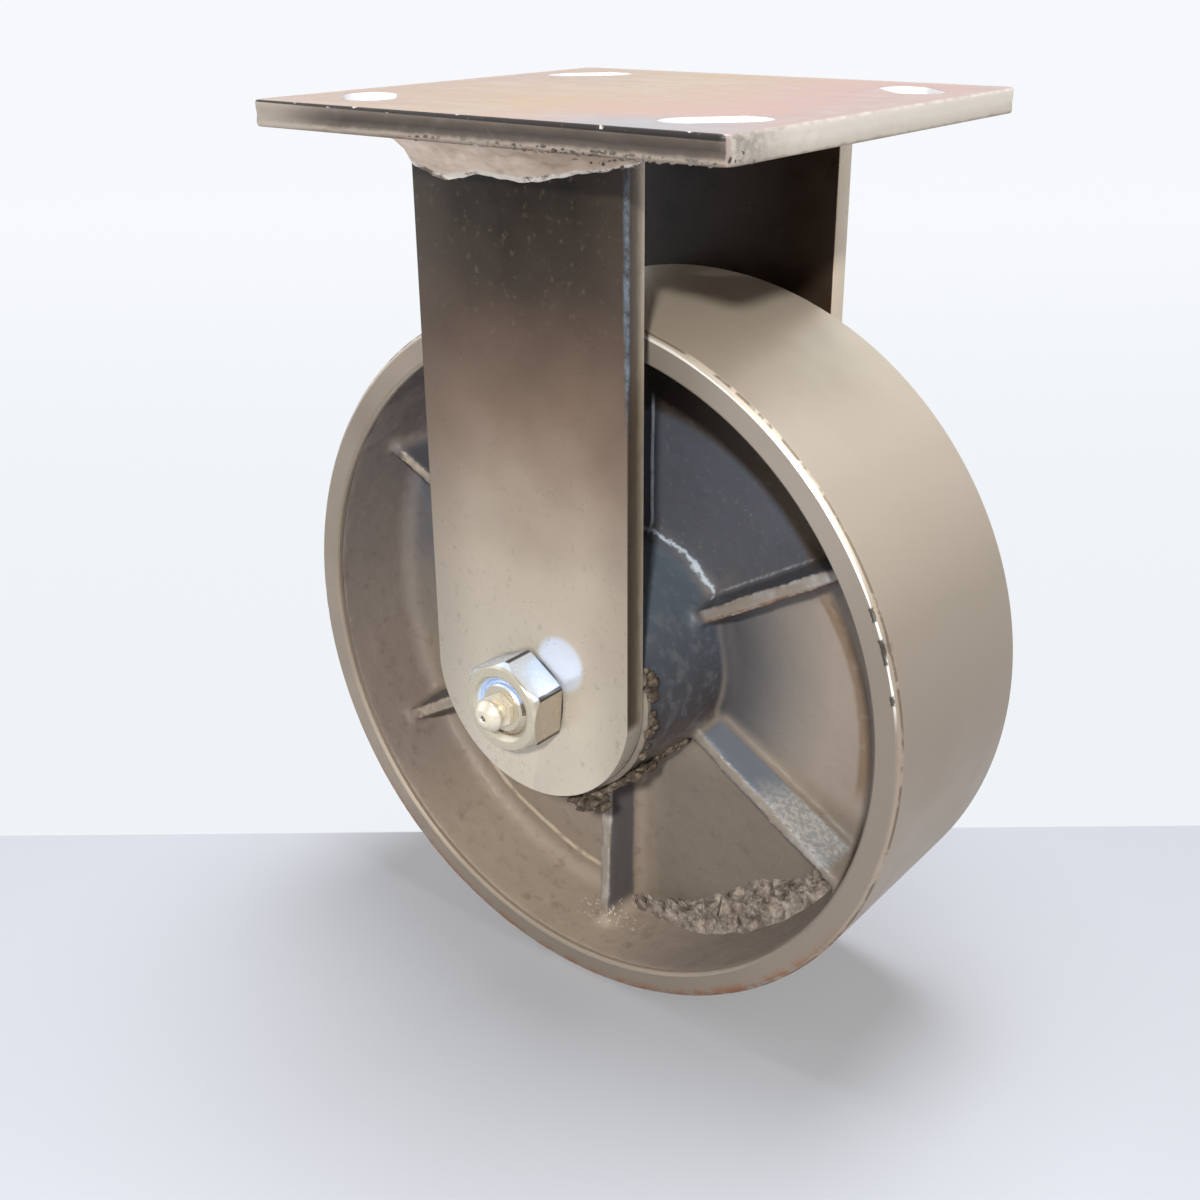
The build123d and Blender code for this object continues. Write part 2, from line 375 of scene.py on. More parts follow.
studio = {"floorDrop": 0.2516, "floorSize": 60, "farLine": 0.4445, "lineSoft": 0.0006, "skyRise": 1.4,
          "nearTone": "c5c9d1", "frontTone": "d0d3db", "frontReach": (0.1, 0.32),
          "farTone": "eef2f6", "farGlow": 0.97, "skyTone": "f9fbff",
          "floorRough": 0.9, "floorGloss": 0.1, "ambientTone": "ece6de", "ambient": 0.20,
          "lampDistance": 1.6, "lampTarget": (0, 0, -0.12),
          "lamps": {"keyLamp": {"way": (0.456, -0.731, 0.507), "size": 0.09, "power": 23, "tone": "fffbf5"},
                    "topLamp": {"way": (0, 0.12, 1), "size": 0.9, "power": 22, "tone": "fafaff"},
                    "fillLamp": {"way": (-0.8, -0.45, 0.35), "size": 1.4, "power": 4, "tone": "f0f6ff"}}}


def seenPlainly(tree):
    # by the camera, in a reflection or through something clear
    path = addNode(tree, "LightPath")
    seen = Field(path.outputs["Is Camera Ray"])
    for kind in ("Is Glossy Ray", "Is Transmission Ray"):
        seen = seen.maths("ADD", Field(path.outputs[kind]), True)
    return seen


def addFloor():
    bm = bmesh.new()
    bmesh.ops.create_grid(bm, x_segments=8, y_segments=8, size=studio["floorSize"] / 2)
    moveShape(bm, 0, 0, -studio["floorDrop"])
    floor = tempObject(bm, "floor")
    material, place = newFinish("paleFloor", Roughness=studio["floorRough"],
                                Specular_IOR_Level=studio["floorGloss"])
    tree = place.tree
    shader = tree.nodes["Principled BSDF"]
    # how far a point lies in front of the camera's place, along its heading
    start = Vector(cameraView["place"])
    heading = Vector(cameraView["target"]) - start
    turn = math.atan2(heading.y, heading.x)
    coords = newField(tree, "TexCoord", out="Object")
    away = newField(tree, "Mapping", {"Vector": coords, "Location": (-start.x, -start.y, 0)})
    reach = axesOf(newField(tree, "Mapping", {"Vector": away, "Rotation": (0, 0, -turn)}))[0]
    farLine = studio["farLine"]
    far = reach.fade(farLine - studio["lineSoft"], farLine + studio["lineSoft"])
    front = mixed(reach.fade(*studio["frontReach"], 1, 0), studio["nearTone"], studio["frontTone"])
    tree.links.new(mixed(far, front, studio["farTone"]).socket, shader.inputs["Base Color"])
    # the far part glows as the sky does, without casting light
    sky = mixed(reach.fade(farLine, farLine + studio["skyRise"]), studio["farTone"], studio["skyTone"])
    glow = addNode(tree, "Emission", {"Color": sky, "Strength": 1})
    share = seenPlainly(tree) * (far * studio["farGlow"])
    mix = addNode(tree, "MixShader", {0: share, 1: shader.outputs[0], 2: glow.outputs[0]})
    tree.links.new(mix.outputs[0], tree.nodes["Material Output"].inputs["Surface"])
    floor.data.materials.append(material)


def addLamp(name, lamp):
    data = bpy.data.lights.new(name, "AREA")
    data.shape = "DISK"
    data.size = lamp["size"]
    data.energy = lamp["power"]
    data.color = linear(lamp["tone"])[:3]
    target = Vector(studio["lampTarget"])
    place = target + Vector(lamp["way"]).normalized() * studio["lampDistance"]
    addObject(name, data).matrix_world = aimed(place, target)


def addWorld():
    world = bpy.data.worlds.new("studio")
    bpy.context.scene.world = world
    world.use_nodes = True
    tree = world.node_tree
    tree.nodes.clear()
    shares = {0: seenPlainly(tree)}
    for key, tone, strength in ((1, "ambientTone", studio["ambient"]), (2, "skyTone", 1)):
        light = {"Color": linear(studio[tone]), "Strength": strength}
        shares[key] = newField(tree, "Background", light)
    mix = addNode(tree, "MixShader", shares)
    addNode(tree, "OutputWorld", {"Surface": mix.outputs[0]})


addFloor()
addWorld()
for name, lamp in studio["lamps"].items():
    addLamp(name, lamp)
bpy.context.scene.view_settings.view_transform = "Standard"
print("studio set")


# finishes: each has a dictionary of its tones, and measures are in millimetres round the axle

legLook = {
    "face": [(0, "cec5b6"), (0.16, "c6bdad"), (0.40, "b4a898"), (0.55, "928273"),
             (0.64, "7a6859"), (0.74, "5c4c40"), (0.84, "3c332b"), (0.94, "28221b"),
             (1, "201a15")],
    "sawn": [(0, "423932"), (0.5, "605448"), (0.72, "8c8070"), (1, "bcb09e")],
    "scratch": "746a62", "edge": "5c5046", "inner": ("18120d", "32241a"),
    "farSawn": "deceb8", "scale": ("3e4044", "76828f"), "nutReflectionTone": "ced6e4"}


def legSteel(look):
    material, place = newFinish("legSteel", Metallic=0.25, Specular_IOR_Level=0.3)
    x, y, z = axesOf(place)
    patch = speckle(place, 26, 3, 0.5)
    fine = speckle(place, 2.4, 6, 0.6)
    drift = patch - 0.5
    # painted shade and reflection, partly mill scale: pale at the round end and dark under the plate, where
    # fine scratches show
    tone = colourStops((z + drift * 26).share(-34, 140), look["face"])
    tone = mixed(fine.fade(0.56, 0.75, 0, 0.35), tone, look["scratch"])
    # a little darker toward the long edges, and painted shade makes the far leg's inner face much darker
    tone = mixed(abs(x + drift * 10).fade(16, 33, 0, 0.3), tone, look["edge"])
    tone = mixed(y.fade(40, 42, 0, 0.8), tone, mixed(x.fade(-24, 12), *look["inner"]))
    # the sawn side faces: dark behind the front corner and pale at the far one
    grain = speckle(place, 1.6, 4, 0.6, (1, 1, 0.25))
    sawn = colourStops(y.share(-legOuter, -legInner) + (grain - 0.5) * 0.3, look["sawn"])
    sawn = mixed(y.fade(20, 30), sawn, look["farSawn"])
    tone = mixed(abs(x).fade(32.9, 33.3), tone, sawn)
    # blue, speckled scale down the near leg's right corner
    front = y.fade(-49, -49.6)
    scale = front * (x + patch * 1.6 - 0.8).within(32.2, 36, 0.5) * z.within(84, 138, 8)
    speck = speckle(place, 2.2, 6, 0.75, (1, 1, 0.6)).fade(0.36, 0.64)
    tone = mixed(scale * 0.85, tone, mixed(speck, *look["scale"]))
    # a painted reflection of the nut's bright flat, on the leg beside the nut
    nutReflection = lengthOf(x * 0.86 - z * 0.5 - 3.6, x * 0.5 + z * 0.86 - 15.6)
    tone = mixed((nutReflection + patch * 1.5).fade(9.4, 7.2) * front * 0.8, tone, look["nutReflectionTone"])
    rough = speckle(place, 8, 5, 0.6).fade(0.3, 0.7, 0.26, 0.42)
    return dress(material, tone, rough, (speckle(place, 14, 2, 0.5), 0.35, 0.35), (fine, 0.05, 0.5))


plateLook = {
    "top": [(0, "ac9687"), (0.45, "b09b84"), (0.8, "b2968d"), (1, "ac948c")],
    "near": [(0, "6e5c4c"), (0.16, "a09488"), (0.30, "60564e"), (0.5, "423a34"),
             (0.72, "584e46"), (0.9, "70665c"), (1, "685e54")],
    "side": [(0, "8c7258"), (0.12, "c8beb0"), (0.55, "e2dbcf"), (0.9, "e6ded4"),
             (1, "bab0a4")],
    "wiped": "9b9da1", "nearLeft": "baaea0", "line": ("1e1814", "dcd4c8"),
    "sideNear": "968e84", "slot": "f2f2f6", "under": ("5c5044", "807466"),
    "speck": "968c84"}


def plateSteel(look):
    material, place = newFinish("plateSteel", Metallic=0.15, IOR=1.5)
    x, y, z = axesOf(place)
    patch = speckle(place, 34, 3, 0.5)
    fine = speckle(place, 1.8, 6, 0.6)
    tone = colourStops((x + (patch - 0.5) * 60).share(-71, 71), look["top"])
    # a wiped, bluish patch beside the near slot
    wiped = (lengthOf(x - 46, (y + 62) * 1.6) + patch * 16).fade(12, 48, 0.85, 0)
    tone = mixed(wiped, tone, look["wiped"])
    # the sheared edges, banded from the burnished top to the torn bottom
    level = (z + (speckle(place, 5, 4, 0.6) - 0.5) * 1.6).share(plateUnder, plateTop)
    nearBand, sideBand = colourStops(level, look["near"]), colourStops(level, look["side"])
    nearBand = mixed((x + patch * 20).fade(-26, -64, 0, 0.7), nearBand, look["nearLeft"])
    # a crisp dark line under the top corner, nicked here and there
    nicked = speckle(place, 3.4, 5, 0.6).fade(0.62, 0.66)
    inLine = (z + x * 0.0065).within(149.1, 151, 0.1) * x.fade(-71.4, -69)
    nearBand = mixed(inLine, nearBand, mixed(nicked, *look["line"]))
    sideBand = mixed(y.fade(-40, -66) * fine.fade(0.35, 0.6, 0.4, 0.9), sideBand, look["sideNear"])
    onSide = abs(x).fade(70.2, 70.6).maths("MAXIMUM", y.fade(66.7, 67.1))
    tone = mixed(y.fade(-66.9, -66.5, 1, 0), mixed(onSide, tone, sideBand), nearBand)
    # a painted highlight: the slots' walls are painted near white
    inSlot = abs(x).within(36, 68, 0.1) * abs(y).within(30, 60, 0.1)
    tone = mixed(inSlot * z.within(plateUnder + 0.3, plateTop - 0.1, 0.05), tone, look["slot"])
    # the underside is dull and brown
    below = z.fade(plateUnder + 0.1, plateUnder + 0.3, 1, 0)
    tone = mixed(below, tone, mixed(patch, *look["under"]))
    tone = mixed(fine.fade(0.62, 0.8, 0, 0.3), tone, look["speck"])
    rough = speckle(place, 10, 5, 0.6).fade(0.3, 0.7, 0.34, 0.52)
    return dress(material, tone, rough, (speckle(place, 18, 2, 0.5), 0.3, 0.3), (fine, 0.06, 0.5))


weldLook = {"dark": "b29c86", "mid": "dec8b3", "pale": "f0dcc8", "speck": "e2dace",
            "left": "ceb6a0",
            "lip": [(0.4, "463a30"), (0.47, "ece2d4"), (0.56, "faf4ea"), (0.62, "54463a")]}
spatterLook = {**weldLook, "dark": "302822", "mid": "685e54", "pale": "b0a69c"}


def weldMetal(name, look):
    material, place = newFinish(name, Metallic=0.3, IOR=1.5)
    x = axesOf(place)[0]
    flow = speckle(place, 6, 4, 0.6, (0.35, 1, 1), 0.6)
    fine = speckle(place, 1.1, 5, 0.6)
    tone = colourStops(flow, [(0.28, look["dark"]), (0.42, look["mid"]), (0.62, look["pale"])])
    tone = mixed(fine.fade(0.60, 0.74, 0, 0.5), tone, look["speck"])
    tone = mixed(x.fade(-6, 26, 0, 0.6), tone, look["dark"])
    tone = mixed(x.fade(-20, -34, 0, 0.5), tone, look["left"])
    # the lip along the bead's lower side carries painted highlights in places and painted black shade in
    # others
    lipTone = colourStops(speckle(place, 7, 6, 0.7, (0.6, 1, 1)), look["lip"])
    tone = mixed(vertexValue(place, "lip").fade(0.45, 0.75, 0, 0.85), tone, lipTone)
    return dress(material, tone, fine.fade(0.3, 0.7, 0.3, 0.5), (flow, 0.5, 0.5), (fine, 0.12, 0.6))


ironLook = {
    "web": [(0, "8e8275"), (0.3, "8a7f72"), (0.52, "78716c"), (0.68, "585a61"),
            (1, "50545d")],
    "hub": [(0, "847666"), (0.18, "64584e"), (0.38, "484446"), (0.64, "4c5159"),
            (1, "5c6874")],
    "paintedRimShadow": [(0.25, "6b5a46"), (0.45, "5c4e3e"), (0.62, "50453a"), (0.82, "342c25")],
    "rightWebTone": [(0.36, "484649"), (0.45, "626061"), (0.58, "88817a"), (0.68, "9c9086"),
               (0.8, "988d82")],
    "hubSpeck": "7a828a", "lowWeb": "686058", "ribRootHighlight": "b0b6bc", "topRibHighlight": "ecf6fe",
    "wall": ("827770", "a49687"), "blot": "605449", "grain": "a89e94",
    "stain": "7a644c", "flank": "4e4d52", "ribEdge": "968b7e", "rust": "805c3c",
    "bare": "747c88", "pitted": ("9c9d9e", "bcbcba"), "root": "bccad8",
    "scuff": "dcd8d2", "worn": ("c4b6a2", "bac0c6"), "filletHighlight": "cebea8",
    "deep": "5c5044"}


def castIron(look):
    material, place = newFinish("castIron", Specular_IOR_Level=0.3)
    x, y, z = axesOf(place)
    radius, high, angle = lengthOf(x, z), abs(y), degreesOf(x, z)
    near = y.fade(1, -1)
    patch = speckle(place, 22, 3, 0.55)
    sand = speckle(place, 1.3, 6, 0.65)
    grit = speckle(place, 4.5, 5, 0.6)
    # the lower half is brown and the upper a blue grey
    tone = colourStops((z + (patch - 0.5) * 50).share(-70, 70), look["web"])
    hubTone = colourStops(z / radius * 0.5 + patch * 0.1 + 0.45, look["hub"])
    hubTone = mixed(grit.fade(0.48, 0.66, 0, 0.35), hubTone, look["hubSpeck"])
    tone = mixed(radius.fade(36.5, 34.5) * high.fade(7, 9), tone, hubTone)
    # between the lowest two ribs the web is darker
    web = near * high.fade(8, 6)
    tone = mixed(web * x.fade(4, 16) * z.fade(-24, -40, 0, 0.6), tone, look["lowWeb"])
    # a brown painted shadow of the rim's upper edge falls on the web, darkest at the top
    paintedRimShadow = near * radius.within(70, 95, 1.5) * angle.within(27, 100, 3) * high.fade(12, 9, 0, 0.9)
    tone = mixed(paintedRimShadow, tone, colourStops(angle * 0.01, look["paintedRimShadow"]))
    # painted highlights: a pale line where the topmost rib meets the web, and another beside the next one
    across = z * 0.866 - x * 0.5
    seamShadowAndGlint = near * high.fade(7.5, 6)
    ribRootHighlight = across.within(3.6, 4.2, 0.3) * radius.within(39, 72, 3) * sand.fade(0.4, 0.6, 0.1, 0.6)
    tone = mixed(seamShadowAndGlint * ribRootHighlight, tone, look["ribRootHighlight"])
    tone = mixed(seamShadowAndGlint * x.within(7, 8, 0.25) * z.within(36, 72, 3), tone, look["topRibHighlight"])
    # the rim's inner wall, then blots and grains over all of it
    lowLeft = z.fade(-45, -85) * x.fade(40, 0)
    tone = mixed(radius.fade(86, 92) * 0.8, tone, mixed(lowLeft, *look["wall"]))
    tone = mixed(grit.fade(0.52, 0.72, 0, 0.35), tone, look["blot"])
    tone = mixed(sand.fade(0.60, 0.74, 0, 0.3), tone, look["grain"])
    # to the right of the hub the web grows lighter toward the rim
    tone = mixed(web * angle.within(-24, 26, 4), tone, colourStops(radius * 0.01, look["rightWebTone"]))
    # a brown stain runs down the web beside the rim
    stain = near * (radius + angle * 0.28).within(74.6, 78.4, 0.8) * angle.within(-18, 26, 3)
    tone = mixed(stain * grit.fade(0.3, 0.5, 0.4, 0.8), tone, look["stain"])
    # the ribs: painted shade darkens the flanks under a lighter edge
    onRib = high.fade(6.4, 8) * radius.fade(36, 39) * radius.fade(89, 85)
    tone = mixed(onRib * 0.85, tone, look["flank"])
    brow = high - radius * 0.0633
    tone = mixed(onRib * brow.fade(12.4, 13) * 0.8, tone, look["ribEdge"])
    # at two o'clock the edge's lower corner is brown
    nearRib = near * onRib
    rust = nearRib * brow.fade(9.5, 10.5) * x.fade(20, 30) * across.within(-3.4, -1.1, 0.2)
    tone = mixed(rust * 0.9, tone, look["rust"])
    # at four o'clock the flank is bare, smooth and blue by the hub, and pitted and pale by the rim
    pitted = mixed(sand.fade(0.42, 0.6), *look["pitted"])
    bare = mixed((radius + patch * 20).fade(64, 78), look["bare"], pitted)
    flank = nearRib * angle.within(-52, -8, 4) * (x * 0.5 + z * 0.866).fade(1.4, 1.8)
    tone = mixed(flank * 0.9, tone, bare)
    # a broken painted highlight where the hub meets the web
    root = near * (radius + grit * 4).within(37.9, 38.7, 0.4) * high.fade(9, 7.5) * angle.within(30, 100, 5)
    tone = mixed(root * sand.fade(0.36, 0.5, 0.3, 0.9), tone, look["root"])
    # bright scuffs at the foot of the lowest rib
    foot = near * x.within(-10, 12, 3) * radius.within(86.5, 92.5, 0.8) * high.within(12, 20, 1.5)
    tone = mixed(foot * sand.fade(0.57, 0.63), tone, look["scuff"])
    # outside corners are worn bright
    worn = (vertexValue(place, "worn") + (grit - 0.5) * 0.5).fade(0.32, 0.62) * radius.fade(91, 89) * 0.7
    tone = mixed(worn, tone, mixed(x.fade(-12, 12), *look["worn"]))
    # a painted highlight follows the web's edge at the lower left
    filletHighlight = near * (radius + patch * 3 - 1.5).within(83.4, 85, 0.5) * angle.within(-148, -96, 8)
    tone = mixed(filletHighlight * high.fade(13, 10) * grit.fade(0.34, 0.5, 0.2, 0.8), tone, look["filletHighlight"])
    # and the inside corners are darkened
    tone = mixed(vertexValue(place, "deep").fade(0.25, 0.8) * 0.4, tone, look["deep"])
    return dress(material, tone, sand.fade(0.3, 0.7, 0.38, 0.58), (grit, 0.4, 0.5), (sand, 0.14, 0.7))


rimLook = {
    "tread": [(0, "aa9b8a"), (0.11, "a89a89"), (0.38, "a29585"), (0.52, "9c8e7f"),
              (0.67, "a09484"), (0.82, "c0b4a4"), (0.91, "dbd0be"), (1, "c6baa9")],
    "face": [(0.3, "908375"), (0.7, "9e9284")],
    "treadPatch": "a49888", "faceUpper": "a2988c", "faceLower": "8e8377",
    "rust": "8e5c3e", "nick": "2c2420", "bright": "f0eeea", "chip": "342e2a",
    "fringe": "5c4c3c", "speck": "786a5c", "chips": ((23.4, 25.4), (17.2, 20.9), (11.4, 12.8))}


def machinedIron(look):
    material, place = newFinish("machinedIron", Metallic=0.4, IOR=1.5)
    x, y, z = axesOf(place)
    radius, outer, angle = lengthOf(x, z), abs(y), degreesOf(x, z)
    patch = speckle(place, 30, 3, 0.5)
    fine = speckle(place, 1, 5, 0.6)
    lathe = newField(place.tree, "CombineXYZ", {"X": radius, "Y": y})
    turned = newField(place.tree, "TexNoise", {"Vector": lathe, "Scale": 4, "Detail": 3}, "Fac")
    # painted light and shade: the tread is palest at one o'clock and darker down its right side
    tread = colourStops(z / radius * 0.5 + patch * 0.06 + 0.47, look["tread"])
    tread = mixed(patch.fade(0.3, 0.7, 0, 0.2), tread, look["treadPatch"])
    face = colourStops(patch, look["face"])
    face = mixed((z + x).fade(20, 120), face, look["faceUpper"])
    face = mixed((z - x).within(-150, -40, 30), face, look["faceLower"])
    tone = mixed(outer.fade(31.9, 32.3), tread, face)
    # rust creeps in at the bottom of the rim's outer corner
    rust = radius.fade(97.5, 100.6) * outer.fade(28.5, 31.6) * z.fade(-40, -80)
    tone = mixed(rust * speckle(place, 7, 5, 0.65).fade(0.42, 0.6), tone, look["rust"])
    nick = vertexValue(place, "nick")
    tone = mixed(nick.fade(0.2, 0.6), tone, look["nick"])
    # a painted highlight on the corner between tread and face, at the upper right
    ragged = (outer + (speckle(place, 12, 4, 0.6) - 0.5) * 0.9).fade(32, 32.15)
    bright = ragged * radius.fade(100, 100.15) * (z + x * 0.55).fade(66, 78) * nick.fade(0.15, 0.3, 1, 0)
    tone = mixed(bright, tone, look["bright"])
    # dark chips lie beside it, and a dark fringe behind it
    onCorner = y.fade(-31, -31.6) * (radius + fine * 1.2 - 0.6).within(99.5, 100.5, 0.15) * 0.9
    for start, end in look["chips"]:
        tone = mixed(onCorner * angle.within(start, end, 0.2), tone, look["chip"])
    fringe = outer.within(31, 31.5, 0.15) * radius.fade(99.9, 100.1) * 0.75
    tone = mixed(fringe * speckle(place, 6, 4, 0.6).fade(0.40, 0.52), tone, look["fringe"])
    tone = mixed(fine.fade(0.64, 0.8, 0, 0.3), tone, look["speck"])
    return dress(material, tone, patch.fade(0.3, 0.7, 0.36, 0.5), (turned, 0.05, 0.35), (fine, 0.05, 0.4))


nutLook = {"tone": "e0edfe", "shade": "bcb1a0", "ends": "c8c0ac", "rough": 0.16,
           "seamShadowAndGlint": "1a1612", "grimeAndDarkReflection": "302820", "film": "786e62"}
nippleLook = {**nutLook, "tone": "e8deca", "shade": "d6cbb4", "ends": "e8dfcb", "rough": 0.2}


def brightSteel(name, look):
    material, place = newFinish(name, Metallic=0.6)
    x, y, z = axesOf(place)
    smear = speckle(place, 5, 4, 0.55)
    fine = speckle(place, 0.7, 4, 0.6)
    # painted reflections: the upper flats are bright and bluish, and the lower ones and the ends are warmer
    lower = (z - x * 0.46 + (smear - 0.5) * 1.2).fade(0.3, -0.3)
    tone = mixed(lower, look["tone"], look["shade"])
    tone = mixed(y.fade(-60.9, -61.5), tone, look["ends"])
    # painted shadow in the gap where the nut meets the leg
    tone = mixed(y.fade(-51.3, -50.6) * y.fade(-40, -49), tone, look["seamShadowAndGlint"])
    # painted dark reflections line the nut's six corners
    corner = lengthOf(x, z).fade(13.25, 13.45) * abs(y).fade(50, 50.4)
    tone = mixed(corner * 0.9, tone, look["grimeAndDarkReflection"])
    tone = mixed(fine.fade(0.62, 0.78, 0, 0.5), tone, look["film"])
    rough = smear.fade(0.3, 0.7, look["rough"], look["rough"] + 0.14)
    return dress(material, tone, rough, (fine, 0.03, 0.4))


def bearingSteel(name, tone, shade, rough):
    material, place = newFinish(name, Metallic=0.9)
    film = speckle(place, 3, 4, 0.6)
    line = speckle(place, 0.8, 3, 0.6, (1, 0.15, 1))
    tone = colourStops(film, [(0.35, shade), (0.65, tone)])
    return dress(material, tone, film.fade(0.3, 0.7, rough, rough + 0.2), (line, 0.03, 0.5))


def dirtCrust(name, dark, mid, pale, grit="cec6bc"):
    material, place = newFinish(name, Specular_IOR_Level=0.3)
    clump = speckle(place, 3, 5, 0.65)
    grain = speckle(place, 0.8, 4, 0.6)
    tone = colourStops(clump, [(0.32, dark), (0.48, mid), (0.64, pale)])
    tone = mixed(grain.fade(0.62, 0.74, 0, 0.7), tone, grit)
    return dress(material, tone, grain.fade(0.3, 0.7, 0.65, 0.9), (grain, 0.3, 0.8))


finish = {
    "leg": legSteel(legLook), "plate": plateSteel(plateLook), "iron": castIron(ironLook),
    "machined": machinedIron(rimLook), "weld": weldMetal("weldMetal", weldLook),
    "spatter": weldMetal("spatterMetal", spatterLook), "bright": brightSteel("brightSteel", nutLook),
    "nipple": brightSteel("nippleSteel", nippleLook),
    "crust": dirtCrust("rimDirt", "4a413a", "7e736a", "aaa095"),
    "grimeAndDarkReflection": dirtCrust("hubDirt", "28221c", "52463b", "807365"),
    "bearing": bearingSteel("bearingSteel", "a8a49e", "60584e", 0.25),
    "cage": bearingSteel("cageSteel", "968870", "544838", 0.35),
    "washer": bearingSteel("washerSteel", "787068", "3e362e", 0.4)}
print("materials made")


# top plate

plateShape = {"length": 142, "width": 135, "thickness": 6.35, "corner": 3.2, "topRound": 0.8,
              "lowRound": 0.6, "slotX": 104.8, "slotY": 88.9, "slotWidth": 13.5, "slotLength": 25.4,
              "slotRound": 0.35, "slotTurn": 45, "step": 1.6, "tear": 0.32,
              "cuts": (-0.62, -0.36, -0.1, 0.16, 0.42)}


def buildPlate(shape):
    bm = block(shape["length"], shape["width"], shape["thickness"])
    bevelEdges(bm, edgesAlong(bm, 2), shape["corner"], 6)
    tool = bmesh.new()
    for sideX, sideY in ((-1, -1), (-1, 1), (1, -1), (1, 1)):
        slot = block(shape["slotLength"], shape["slotWidth"], 20)
        bevelEdges(slot, edgesAlong(slot, 2), shape["slotWidth"] / 2 - 0.001, 14)
        turnShape(slot, -shape["slotTurn"] * sideX * sideY, "Z")
        moveShape(slot, sideX * shape["slotX"] / 2, sideY * shape["slotY"] / 2, 0)
        joinInto(tool, slot)
    bm = carve(bm, tool)
    flatFaces(bm, 0.001)
    edgeX, edgeY = shape["length"] / 2 - shape["corner"] - 0.1, shape["width"] / 2 - shape["corner"] - 0.1
    half = shape["thickness"] / 2

    def outside(vert):
        return abs(vert.co.x) > edgeX or abs(vert.co.y) > edgeY

    for level, width in ((half, shape["topRound"]), (-half, shape["lowRound"])):
        for onRim, offset, segments in ((True, width, 3), (False, shape["slotRound"], 2)):
            bevelEdges(bm, [e for e in sharpEdges(bm, 60) if all(
                abs(v.co.z - level) < 0.01 and outside(v) == onRim for v in e.verts)], offset, segments)

    def wall():
        faces = [f for f in bm.faces if abs(f.normal.z) < 0.3 and all(outside(v) for v in f.verts)]
        parts = set(faces)
        for face in faces:
            parts.update(face.verts)
            parts.update(face.edges)
        return list(parts)

    # the plate's edge is cut finely, and torn a little, most of all below
    for share in shape["cuts"]:
        bmesh.ops.bisect_plane(bm, geom=wall(), plane_co=(0, 0, share * half), plane_no=(0, 0, 1))
    for axis, reach in ((0, edgeX), (1, edgeY)):
        count = int(2 * reach / shape["step"])
        for index in range(count + 1):
            place, way = [0, 0, 0], [0, 0, 0]
            place[axis], way[axis] = -reach + index * 2 * reach / count, 1
            side = [g for g in wall() if not isinstance(g, bmesh.types.BMFace) or abs(g.normal[axis]) < 0.3]
            bmesh.ops.bisect_plane(bm, geom=side, plane_co=place, plane_no=way)
    inner = half - max(shape["topRound"], shape["lowRound"]) - 0.05
    for vert in bm.verts:
        if outside(vert) and abs(vert.co.z) < inner + 0.1:
            out = Vector((vert.co.x * (abs(vert.co.x) > edgeX), vert.co.y * (abs(vert.co.y) > edgeY), 0))
            torn = 1 if vert.co.z < 0.6 else 0.25
            vert.co += out.normalized() * shape["tear"] * torn * (lumpy(vert.co, 2.2) - 0.25)
    moveShape(bm, 0, 0, plateUnder + half)
    return bm


makePiece(buildPlate(plateShape), "topPlate", finish["plate"], "fork", ["top_plate"], 40)


# legs

legShape = {"width": 66.7, "thickness": 6.35, "rise": 3.2, "round": 0.7, "hole": 8.06}


def buildLeg(shape, side):
    low = shape["rise"] - shape["width"] / 2
    tall = plateUnder - low
    bm = block(shape["width"], shape["thickness"], tall)
    moveShape(bm, 0, 0, low + tall / 2)
    foot = [e for e in edgesAlong(bm, 1) if all(v.co.z < low + 0.01 for v in e.verts)]
    bevelEdges(bm, foot, shape["width"] / 2 - 0.001, 40)
    drill = spinProfile([(0, -20), (shape["hole"], -20), (shape["hole"], 20), (0, 20)], 64, False)
    bm = carve(bm, drill)
    flatFaces(bm, 0.001)
    # every long edge but those of the hole and of the end under the plate
    top = plateUnder - 0.01
    outline = [e for e in sharpEdges(bm, 60) if not all(v.co.z > top for v in e.verts) and all(
        v.co.length > 15 and v.co.z < top or abs(v.co.x) > 33 for v in e.verts)]
    bevelEdges(bm, outline, shape["round"], 3)
    middle = side * (legInner + shape["thickness"] / 2)
    moveShape(bm, 0, middle, 0)
    return bm


for name, node, side in (("nearLeg", "near_leg", -1), ("farLeg", "far_leg", 1)):
    makePiece(buildLeg(legShape, side), name, finish["leg"], "fork", [node])


# welds between the legs and the plate

outerWeld = {"out": 12, "hollow": 0.12, "left": -37.5, "right": 39.5, "steps": 110, "round": 30,
             "downs": [(-37.5, 5), (-32, 9.1), (-28.9, 9.9), (-25.2, 11.2), (-21.6, 11.6), (-17.2, 10.8),
                       (-11.3, 9.4), (-4.4, 10), (2, 10.3), (7, 9.8), (14, 8.3), (19.8, 7),
                       (25.5, 6.2), (32.2, 4.6), (39.5, 3)],
             "ripple": 0.3, "grain": 0.1, "endRound": 6}
innerWeld = {"out": 5, "hollow": 0.1, "left": -31, "right": 31, "steps": 90, "round": 24,
             "downs": [(-31, 4.4), (-18, 5.2), (-6, 4.6), (9, 5.3), (22, 4.7), (31, 4.3)],
             "ripple": 0.25, "grain": 0.1, "endRound": 4}


def alongTable(table, value, eased=False):
    # a height read from pairs of place and height
    for (x0, y0), (x1, y1) in zip(table, table[1:]):
        if value <= x1:
            share = max(0, value - x0) / (x1 - x0)
            if eased:
                share = share * share * (3 - 2 * share)
            return y0 + (y1 - y0) * share
    return table[-1][1]


